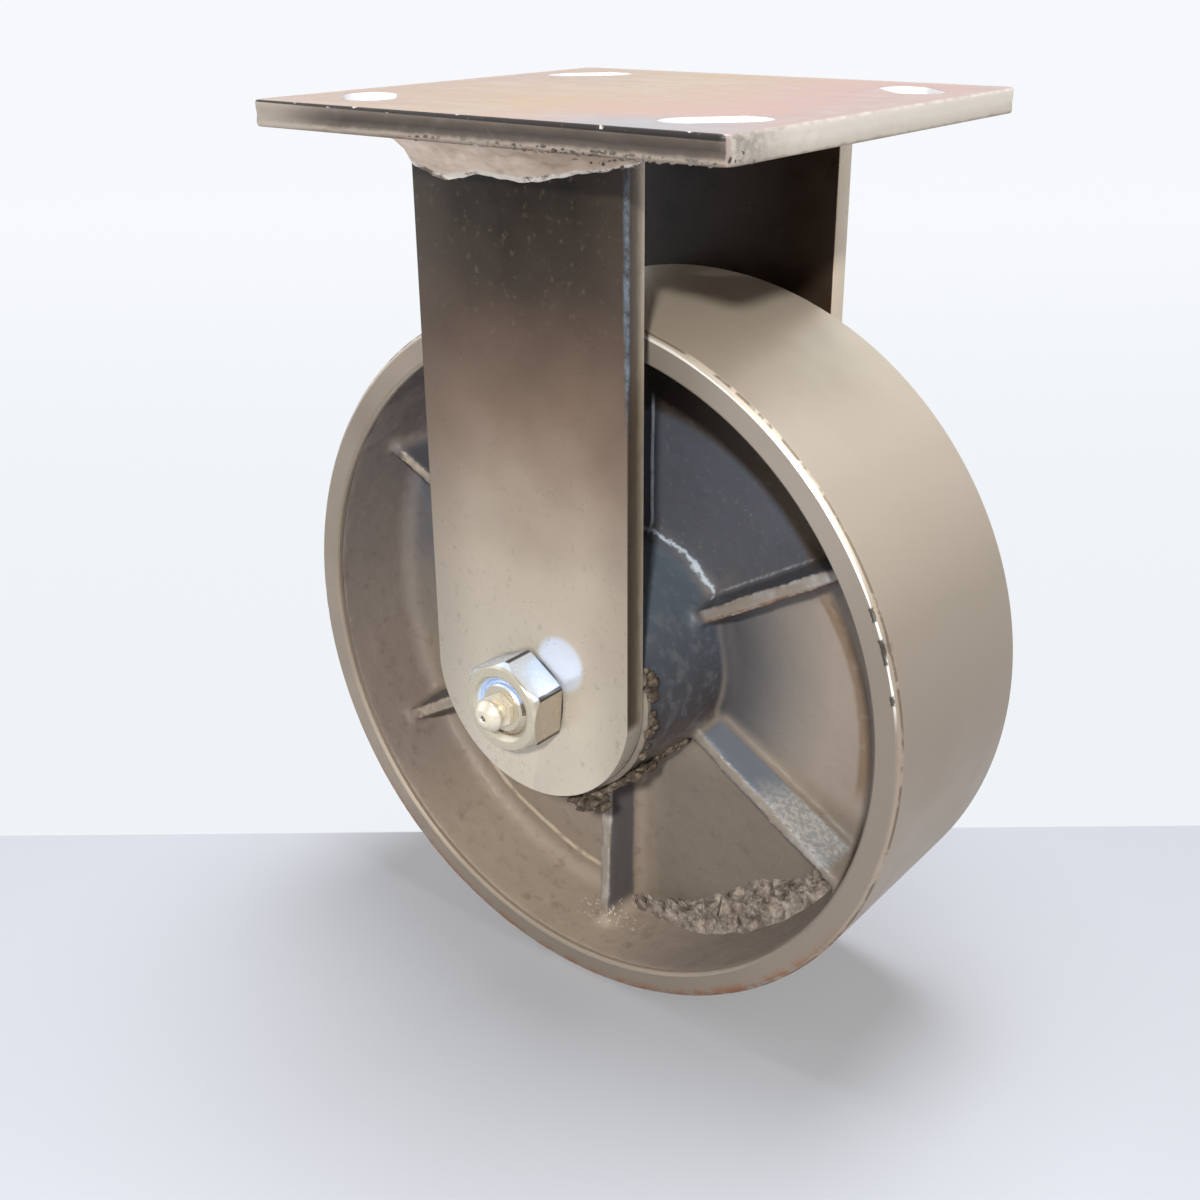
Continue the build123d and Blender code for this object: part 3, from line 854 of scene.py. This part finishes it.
def buildWeld(shape, faceY, way, seed):
    bm = bmesh.new()
    bmesh.ops.create_grid(bm, x_segments=shape["steps"], y_segments=shape["round"], size=0.5)
    lip = bm.verts.layers.float.new("lip")
    span, openShare = shape["right"] - shape["left"], 0.8
    for vert in bm.verts:
        x = shape["left"] + (vert.co.x + 0.5) * span
        share = vert.co.y + 0.5
        ends = min(x - shape["left"], shape["right"] - x, shape["endRound"])
        swell = max(0.02, math.sqrt(max(0, 1 - (1 - ends / shape["endRound"]) ** 2)))
        down = alongTable(shape["downs"], x, True) * swell
        out = shape["out"] * swell * (1 + 0.08 * lumpy((x, seed, 0), 9))
        if share < openShare:     # the open face of the bead, from the plate to the leg
            part = share / openShare
            turn, belly = part * math.pi / 2, math.sin(part * math.pi)
            reach, drop = out * (1 - math.sin(turn)), down * (1 - math.cos(turn))
            chordY, chordZ = out * (1 - part), down * part
            mix = 0.55 + shape["hollow"]
            wave = shape["ripple"] * math.sin(x * 1.1 + 2.4 * lumpy((x, seed, 5), 9)) * belly
            rough = shape["grain"] * lumpy((x, share * 12, seed), 1.7) * min(1, share * 6)
            rough += 0.45 * lumpy((x * 0.5, share * 9, seed), 4) * belly + 0.5 * wave
            dy, dz = chordY + (reach - chordY) * mix + rough, chordZ + (drop - chordZ) * mix + rough
        else:                     # tucked along the leg and the plate, out of sight
            dy, dz = -0.4, down * (1 - (share - openShare) / (1 - openShare))
        vert.co = (x, faceY + way * dy, plateUnder - max(dz, -0.25))
        vert[lip] = max(0, 1 - abs(share - 0.76) / 0.14)
    bmesh.ops.remove_doubles(bm, verts=bm.verts, dist=0.001)
    bmesh.ops.holes_fill(bm, edges=[e for e in bm.edges if e.is_boundary], sides=0)
    bmesh.ops.recalc_face_normals(bm, faces=bm.faces)
    return bm


for name, node, face, way, shape, seed in (
        ("nearOuterWeld", "near_outer_weld", -legOuter, -1, outerWeld, 3),
        ("farOuterWeld", "far_outer_weld", legOuter, 1, outerWeld, 11),
        ("nearInnerWeld", "near_inner_weld", -legInner, 1, innerWeld, 19),
        ("farInnerWeld", "far_inner_weld", legInner, -1, innerWeld, 27)):
    makePiece(buildWeld(shape, face, way, seed), name, finish["weld"], "fork", [node], 60)


# the wheel: a rough casting and its machined rim, with knocks as (angle, spread, depth)

wheelShape = {"bore": 23.03, "hubEnd": 32.4, "hubRoot": 34.5, "hubHalf": 41.275, "web": 4.75,
              "rimRoot": 90.6, "rimLip": 94.2, "outside": 101.6, "half": 32.5, "corner": 1.6,
              "fillet": 4.5, "ribs": 6, "ribHubHeight": 10.5, "ribRimHeight": 14.5, "ribRoot": 3.3,
              "ribDraft": 6.5, "voxel": 1.25, "smoothing": 4, "grain": 0.14, "wander": 0.35,
              "hidden": 96.4, "backing": 97,
              "knocks": [(24.6, 0.5, 0.55), (20.2, 0.7, 0.4), (18.6, 0.6, 0.6), (12.6, 0.4, 0.45),
                         (2.4, 1.2, 0.3), (-174.7, 0.6, 0.6), (-14, 2.4, 0.22), (-19, 1.2, 0.3),
                         (-34, 0.8, 0.3), (-58, 0.7, 0.3)]}


def filletPoints(corner, before, after, radius, count=6):
    # an arc that rounds an inside corner between two straight runs
    corner, a, b = Vector(corner), Vector(before), Vector(after)
    toA, toB = (a - corner).normalized(), (b - corner).normalized()
    half = toA.angle(toB) / 2
    middle = corner + (toA + toB).normalized() * radius / math.sin(half)
    start, end = corner + toA * radius / math.tan(half), corner + toB * radius / math.tan(half)
    first, last = start - middle, end - middle
    ways = [first.slerp(last, index / count).normalized() for index in range(count + 1)]
    return [tuple(middle + way * radius) for way in ways]


def buildCasting(shape):
    half, lip, bare = shape["half"] - 1.3, shape["rimLip"] - 0.15, shape["hubHalf"] - 0.9
    hubRoot, rimRoot = (shape["hubRoot"], shape["web"]), (shape["rimRoot"], shape["web"])
    side = [(shape["bore"], bare), (shape["hubEnd"] - 0.4, bare)]
    side += filletPoints(hubRoot, (shape["hubEnd"], shape["hubHalf"]), rimRoot, shape["fillet"])
    side += filletPoints(rimRoot, hubRoot, (lip, half), shape["fillet"])
    side += [(lip, half), (98, half)]
    outline = side + [(radius, -y) for radius, y in reversed(side)]
    bm = spinProfile(outline, 220)
    start, end = shape["hubEnd"] - 3.5, shape["rimRoot"] + 3.5
    slim = math.tan(math.radians(shape["ribDraft"]))
    for index in range(shape["ribs"]):
        rib = bmesh.new()
        web, root = shape["web"], shape["ribRoot"]
        loops = []
        for x, tall in ((start, shape["ribHubHeight"]), (end, shape["ribRimHeight"])):
            edge, level = root - tall * slim, web + tall
            ring = [(level, edge), (web, root), (-web, root), (-level, edge)]
            ring += [(y, -z) for y, z in reversed(ring)]
            face = rib.faces.new([rib.verts.new((x, y, z)) for y, z in ring])
            loops += face.edges[:]
        bmesh.ops.bridge_loops(rib, edges=loops)
        turnShape(rib, 30 + 60 * index, "Y")
        joinInto(bm, rib)
    bmesh.ops.recalc_face_normals(bm, faces=bm.faces)
    bm = castOver(bm, shape["voxel"], 1)
    # the skin under the rim ring and in the bore is out of sight, so it is thinned
    for vert in bm.verts:
        radius = radiusOf(vert)
        outer = radius > shape["hidden"] and abs(vert.co.y) < shape["half"] - 3
        if outer or (radius < shape["bore"] + 1 and abs(vert.co.y) < shape["hubHalf"] - 4):
            turn = round(angleAt(vert) / fullTurn * 90) / 90 * fullTurn
            wide = shape["backing"] if outer else shape["bore"]
            vert.co = (wide * math.cos(turn), round(vert.co.y / 6) * 6, wide * math.sin(turn))
    bmesh.ops.remove_doubles(bm, verts=bm.verts, dist=0.01)
    softenInside(bm, shape["smoothing"])
    worn = bm.verts.layers.float.new("worn")
    deep = bm.verts.layers.float.new("deep")
    bend = {vert: bendOf(vert) for vert in bm.verts}
    around = {vert: neighbours(vert) for vert in bm.verts}
    for _ in range(2):
        bend = {v: (bend[v] + sum(bend[other] for other in near) / max(1, len(near))) / 2
                for v, near in around.items()}
    for vert in bm.verts:
        vert[worn] = min(1, max(0, -bend[vert] * 3.2))
        vert[deep] = min(1, max(0, bend[vert] * 4))
    moves = {}
    for vert in bm.verts:
        radius = radiusOf(vert)
        if 25 < radius < 96 and abs(vert.co.y) < shape["hubHalf"] - 2:
            push = shape["grain"] * lumpy(vert.co, 2.6) + shape["wander"] * (lumpy(vert.co, 19) - 0.1)
            moves[vert] = vert.normal * push
    for vert, move in moves.items():
        vert.co += move
    return bm


def buildRim(shape):
    half, corner, lip, wide = shape["half"], shape["corner"], shape["rimLip"], shape["outside"]
    side = [(96.8, half - 1.6), (lip - 0.35, half - 1.9), (lip - 0.25, half - 0.9),
            (lip + 0.05, half - 0.35), (lip + 0.5, half), (shape["backing"], half), (wide - corner, half),
            (wide - corner + 0.2, half - 0.12), (wide - 0.12, half - corner + 0.2), (wide, half - corner)]
    across = [(wide, (half - corner) * (1 - index / 9)) for index in range(1, 9)]
    outline = side + across + [(wide, 0)]
    outline += [(radius, -y) for radius, y in reversed(side + across)]
    bm = spinProfile(outline, 360)
    # small knocks on the near outer corner, and a few finer ones on the far one
    nick = bm.verts.layers.float.new("nick")
    for vert in bm.verts:
        radius = radiusOf(vert)
        if radius < wide - corner - 1.4 or abs(vert.co.y) < half - corner - 1:
            continue
        angle = math.degrees(angleAt(vert))
        depth = 0
        for middle, spread, size in shape["knocks"]:
            apart = abs((angle - middle + 180) % 360 - 180)
            if vert.co.y < 0 and apart < spread:
                depth = max(depth, size * (1 - apart / spread) ** 0.5)
        wear = max(0, lumpy((angle * 1.7, vert.co.y * 0.5, 0), 3) - 0.5)
        depth = max(depth, min(0.3, wear * 0.8))
        rough = 0.7 + 0.6 * lumpy(vert.co, 1.2)
        inward = Vector((-vert.co.x, 0, -vert.co.z)).normalized() * 0.55
        inward.y = -0.5 if vert.co.y > 0 else 0.5
        vert.co += inward * depth * rough * 0.8
        vert[nick] = min(1, depth)
    return bm


def buildHubFaces(shape):
    bm = bmesh.new()
    bore, wide, end, back = shape["bore"], shape["hubEnd"], shape["hubHalf"], shape["hubHalf"] - 2.2
    outline = [(bore, back), (bore, end), (wide - 1.2, end), (wide, end - 1.2), (wide + 0.1, back)]
    for way in (-1, 1):
        joinInto(bm, spinProfile([(radius, way * y) for radius, y in outline], 128))
    return bm


makePiece(buildCasting(wheelShape), "wheelCasting", finish["iron"], "wheel", ["wheel"], 80)
rim = buildRim(wheelShape)
joinInto(rim, buildHubFaces(wheelShape))
makePiece(rim, "wheelRim", finish["machined"], "wheel", ["wheel"], 22)


# axle bolt, nut and grease nipple

boltShape = {"radius": 7.94, "flats": 23.8, "headHeight": 10, "nutHeight": 12, "nutTurn": 25,
             "headTurn": 8, "bevel": 30, "nutBevel": 50, "bore": 7.99, "countersink": 1.4, "edge": 0.28,
             "pitch": 2.3, "threadDepth": 1.1, "endY": 61.4, "drilled": 3.05, "drillEnd": -54,
             "threads": 5, "threadStart": 49}


def buildHexagon(shape, start, end, turn, bothEnds):
    corner, flat = hexCorner(shape["flats"]), shape["flats"] / 2
    bm = hexPrism(corner, end - start)
    # the first corner points along X before the turn about the axle
    first = bm.verts[:][0].co
    turnShape(bm, -math.degrees(math.atan2(first.y, first.x)), "Z")
    turnShape(bm, 90, "X")
    turnShape(bm, -turn, "Y")
    moveShape(bm, 0, (start + end) / 2, 0)
    drop, steep = [(corner - flat) * math.tan(math.radians(shape[key])) + 0.25
                   for key in ("bevel", "nutBevel")]
    wide = corner + 0.4
    points = [(0, start - 1), (wide, start - 1)]
    if bothEnds:
        points = [(0, start), (flat - 0.2, start), (wide, start + steep + 0.45)]
    points += [(wide, end - drop - 0.2), (flat - 0.4, end), (0, end)]
    return carve(bm, spinProfile(points, 96, False), "INTERSECT")


def windUp(bm, turns, steps, pitch, gap):
    # winds the flat outline round the axle, a pitch for each turn
    bmesh.ops.spin(bm, geom=bm.verts[:] + bm.edges[:] + bm.faces[:], cent=(0, 0, 0), axis=(0, 1, 0),
                   dvec=(0, pitch / steps, 0), angle=turns * fullTurn, steps=turns * steps, use_merge=False)
    tidyShell(bm, gap)


def softenEdges(bm, width):
    bmesh.ops.remove_doubles(bm, verts=bm.verts, dist=0.02)
    flatFaces(bm, math.radians(1))
    bevelEdges(bm, sharpEdges(bm, 24), width, 2)
    return bm


def buildNut(shape):
    bore, sink = shape["bore"], shape["countersink"]
    top, foot = -legOuter - shape["nutHeight"], -legOuter
    bm = buildHexagon(shape, top, foot - 0.02, shape["nutTurn"], True)
    tool = spinProfile([(0, top - 1), (bore + sink + 1, top - 1), (bore, top + sink), (bore, foot - sink),
                        (bore + sink + 1, foot + 1), (0, foot + 1)], 96, False)
    return softenEdges(carve(bm, tool), shape["edge"])


def buildBolt(shape):
    head = buildHexagon(shape, legOuter, legOuter + shape["headHeight"], shape["headTurn"], False)
    head = softenEdges(head, shape["edge"])
    radius, drilled, thread = shape["radius"], shape["drilled"], -shape["threadStart"]
    root, end = radius - shape["threadDepth"], -shape["endY"]
    inside, back = shape["drillEnd"], legOuter + 0.2
    joinInto(head, spinProfile([
        (drilled, end), (root - 0.5, end), (root, end + 0.5), (root, thread - 0.4), (radius, thread + 0.8),
        (radius, back), (0, back), (0, inside), (drilled, inside)], 96))
    # the thread is one ridge wound round the root
    ridge = bmesh.new()
    half = shape["pitch"] / 2
    start, slope = end + 0.35 + half * 0.6, half * 0.9
    ridge.faces.new([ridge.verts.new((wide, start + y, 0)) for wide, y in (
        (root - 0.1, -slope), (radius - 0.03, -0.14), (radius - 0.03, 0.14), (root - 0.1, slope))])
    windUp(ridge, shape["threads"], 48, shape["pitch"], 0.001)
    joinInto(head, ridge)
    return head


nippleShape = {"seat": 61.4, "flats": 8.8, "collar": 1.8, "thread": 3, "neck": 2.7, "head": 4.5,
               "tip": 1.9, "mouth": 0.8, "root": 54.9, "bore": 1.3, "lip": 0.9}


def buildNipple(shape):
    base, root, collarEnd = -shape["seat"], -shape["root"], -shape["seat"] - shape["collar"]
    thread, neck, mouth, head = shape["thread"], shape["neck"], shape["mouth"], shape["head"]
    neckEnd = collarEnd - 1.2
    # from the lip inside the bolt out to the tip, and back down the bore
    points = [(shape["lip"], root), (thread, root), (thread, base), (neck, collarEnd)]
    points += [(radius, neckEnd - y) for radius, y in (
        (neck, -0.3), (neck + 0.2, 0), (3.7, 0.75), (4.32, 1.3), (head, 1.7), (head, 2.1),
        (4.3, 2.55), (3.75, 3.15), (3.1, 3.7), (2.45, 4.12), (shape["tip"], 4.4),
        (mouth + 0.25, 4.4), (mouth, 4.15), (mouth, 3.8), (shape["bore"], 3.3))]
    points += [(shape["bore"], root - 0.8), (shape["lip"], root - 0.8)]
    bm = spinProfile(points, 72)
    collar = hexPrism(hexCorner(shape["flats"]), shape["collar"])
    bevelEdges(collar, collar.edges[:], 0.22, 2)
    turnShape(collar, 90, "X")
    moveShape(collar, 0, base - shape["collar"] / 2, 0)
    joinInto(bm, collar)
    return bm


makePiece(buildNut(boltShape), "axleNut", finish["bright"], "fork", ["axle_nut"], 18)
makePiece(buildBolt(boltShape), "axleBolt", finish["bright"], "fork", ["axle_bolt"], 18)
makePiece(buildNipple(nippleShape), "greaseNipple", finish["nipple"], "fork", ["grease_nipple"],
          40)


# the spring behind the nipple's ball, which shortens as the ball is pressed in, is built at one length
springShape = {"coil": 0.9, "wire": 0.16, "turns": 4, "steps": 24, "start": -66.075, "end": -55.894,
               "fixedEnd": -55.7, "travel": 0.6}


def buildSpring(shape):
    bm = bmesh.new()
    bmesh.ops.create_circle(bm, cap_ends=True, segments=10, radius=shape["wire"],
                            matrix=Matrix.Translation((shape["coil"], shape["start"], 0)))
    pitch = (shape["end"] - shape["start"]) / shape["turns"]
    windUp(bm, shape["turns"], shape["steps"], pitch, 0.0005)
    return bm


spring = makePiece(buildSpring(springShape), "nippleSpring", finish["bearing"], "fork", ["nipple_spring"],
                   50)
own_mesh(spring)


# weld spatter and dirt: lumps laid on what carries them, as (point, size, outward way)

def scatterLumps(places, seed):
    bm = bmesh.new()
    for index, (point, size, way) in enumerate(places):
        lump = bmesh.new()
        bmesh.ops.create_icosphere(lump, subdivisions=2, radius=1)
        for vert in lump.verts:
            vert.co *= 1 + 0.35 * lumpy(vert.co + Vector((index * 3.1, seed, 0)), 0.8)
        turn = Vector(way).to_track_quat("Z", "Y").to_matrix().to_4x4()
        flat = Matrix.Diagonal((size[0], size[1], size[2], 1))
        bmesh.ops.transform(lump, matrix=Matrix.Translation(point) @ turn @ flat, verts=lump.verts)
        joinInto(bm, lump)
    return bm


spatterShape = {"seed": 41, "grain": 7, "onEdge": 120, "onBead": 26, "onCorner": 16}


def buildSpatter(shape):
    draw = random.Random(shape["seed"])
    places = []
    for _ in range(shape["onEdge"]):      # the plate's lower near edge, more of it toward the near corner
        x = -20 + 88 * draw.random() ** 0.7
        z = plateUnder + draw.uniform(0, 1.3)
        size = draw.uniform(0.18, 0.55)
        places.append(((x, -67.4, z), (size * 1.5, size * 0.8, size * 0.4), (0, -1, 0.2)))
    for _ in range(shape["onBead"]):      # where the bead runs out on the leg's corner
        x = draw.uniform(20, 37)
        z = plateUnder - draw.uniform(0.2, 4)
        size = draw.uniform(0.25, 0.6)
        places.append(((x, -legOuter - draw.uniform(0, 4), z), (size, size, size * 0.7), (0, -1, -0.5)))
    for _ in range(shape["onCorner"]):    # on the near corner itself
        z = plateUnder + draw.uniform(0.3, 3.5)
        size = draw.uniform(0.25, 0.6)
        places.append(((70.7, -66.8 + draw.uniform(0, 9), z), (size, size * 1.2, size * 0.4), (1, -0.4, 0)))
    return scatterLumps(places, shape["grain"])


makePiece(buildSpatter(spatterShape), "weldSpatter", finish["spatter"], "fork",
          crease=50)


crustShape = {"start": -90, "end": -33, "steps": 170, "rows": 46, "high": 3.4, "thick": 0.5,
              "corner": (90.6, 4.75), "wallSlope": 3.6 / 27.75,
              "webEdge": [(-90, 91), (-85.5, 90.6), (-78, 87), (-72, 84.4), (-62, 80.7), (-55, 79.4),
                          (-47, 82.8), (-40, 87.5), (-33, 91)],
              "wallEdge": [(-90, 6), (-84, 8), (-76, 11), (-68, 13), (-58, 13.5), (-48, 12),
                           (-40, 10), (-33, 6.5)]}


def buildRimCrust(shape):
    # swept dirt runs from its edge on the web over the corner to its edge on the rim's wall
    cornerRadius, web = shape["corner"]
    bm = bmesh.new()
    bmesh.ops.create_grid(bm, x_segments=shape["steps"], y_segments=shape["rows"], size=0.5)
    for vert in bm.verts:
        along, share = vert.co.x + 0.5, vert.co.y + 0.5
        angle = shape["start"] + along * (shape["end"] - shape["start"])
        inner = alongTable(shape["webEdge"], angle) + 1.2 * lumpy((angle * 0.5, 3, 0), 1.5)
        outer = alongTable(shape["wallEdge"], angle) + 1.4 * lumpy((angle * 0.5, 8, 0), 1.5)
        onWeb, onWall = max(0.5, cornerRadius - inner), max(0.5, outer - web)
        reach = share * (onWeb + onWall)
        if reach < onWeb:
            radius, y, way = inner + reach, web, (0, 1)
        else:
            y = web + reach - onWeb
            radius, way = cornerRadius + (y - web) * shape["wallSlope"], (-1, 0)
        # round the corner as the casting's fillet does
        corner = math.exp(-((reach - onWeb) / 4) ** 2)
        radius, y = radius - 1.5 * corner, y + 1.5 * corner
        way = (way[0] - corner * 0.7, way[1] + corner * 0.7)
        edge = min(1, 6 * share, 6 * (1 - share), 12 * along, 12 * (1 - along))
        high = shape["high"] * edge ** 0.7 * (0.35 + 1.1 * abs(lumpy((radius * 0.6, y, angle * 0.9), 2.6)))
        high += 0.8 * edge * lumpy((radius, y, angle * 1.5), 0.9)
        high -= 0.7 * (1 - edge)
        turn = math.radians(angle)
        radius += way[0] * high
        vert.co = (radius * math.cos(turn), -(y + way[1] * high), radius * math.sin(turn))
    bmesh.ops.solidify(bm, geom=bm.faces[:], thickness=shape["thick"])
    bmesh.ops.recalc_face_normals(bm, faces=bm.faces)
    return bm


makePiece(buildRimCrust(crustShape), "rimCrust", finish["crust"], "wheel", crease=50)


hubCrustShape = {"seed": 5, "grain": 3, "underside": 44, "cake": 26, "hanging": 26, "caught": 16}


def buildHubCrust(shape):
    draw = random.Random(shape["seed"])
    places = []

    def place(angle, y, radius, size):
        way = (math.cos(math.radians(angle)), 0, math.sin(math.radians(angle)))
        places.append(((radius * way[0], y, radius * way[2]), (size * 1.4, size * 1.1, size * 0.7), way))

    for index in range(shape["underside"]):       # along the hub's underside, from the web to its end
        share = index / (shape["underside"] - 1)
        place(-38 - 30 * share + draw.uniform(-6, 6), -7 - 33 * share, 34.3 - 2 * share,
              draw.uniform(0.8, 1.9))
    for _ in range(shape["cake"]):                # a cake of it low on the hub's near end
        place(draw.uniform(-80, -40), -draw.uniform(26, 39), 32.9 + draw.uniform(0, 2),
              draw.uniform(1, 2.4))
    for _ in range(shape["hanging"]):             # the lump that hangs below the leg's tip
        place(draw.uniform(-86, -66), -37 - draw.uniform(0, 2.6), 33.2 + draw.uniform(0, 6),
              draw.uniform(1.2, 2.4))
    for _ in range(shape["caught"]):              # bits caught between the hub and the leg's edge
        place(draw.uniform(-25, 22), -38 - draw.uniform(0, 2), 32.8 + draw.uniform(0, 1.6),
              draw.uniform(0.7, 1.5))
    return scatterLumps(places, shape["grain"])


makePiece(buildHubCrust(hubCrustShape), "hubCrust", finish["grimeAndDarkReflection"], "wheel", crease=60)


# the bearing and the nipple's ball keep their frame shapes

dressedNodes = {
    "washer": ["near_thrust_washer", "far_thrust_washer"], "cage": ["roller_cage"],
    "bearing": ["bearing_sleeve", "outer_race", "nipple_ball",
                *[f"roller_{index:02d}" for index in range(1, 11)]]}

for key, nodes in dressedNodes.items():
    for obj in [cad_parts[node] for node in nodes]:
        if obj.material_slots:
            obj.material_slots[0].material = finish[key]
        else:
            obj.data.materials.append(finish[key])
print("frame pieces dressed")
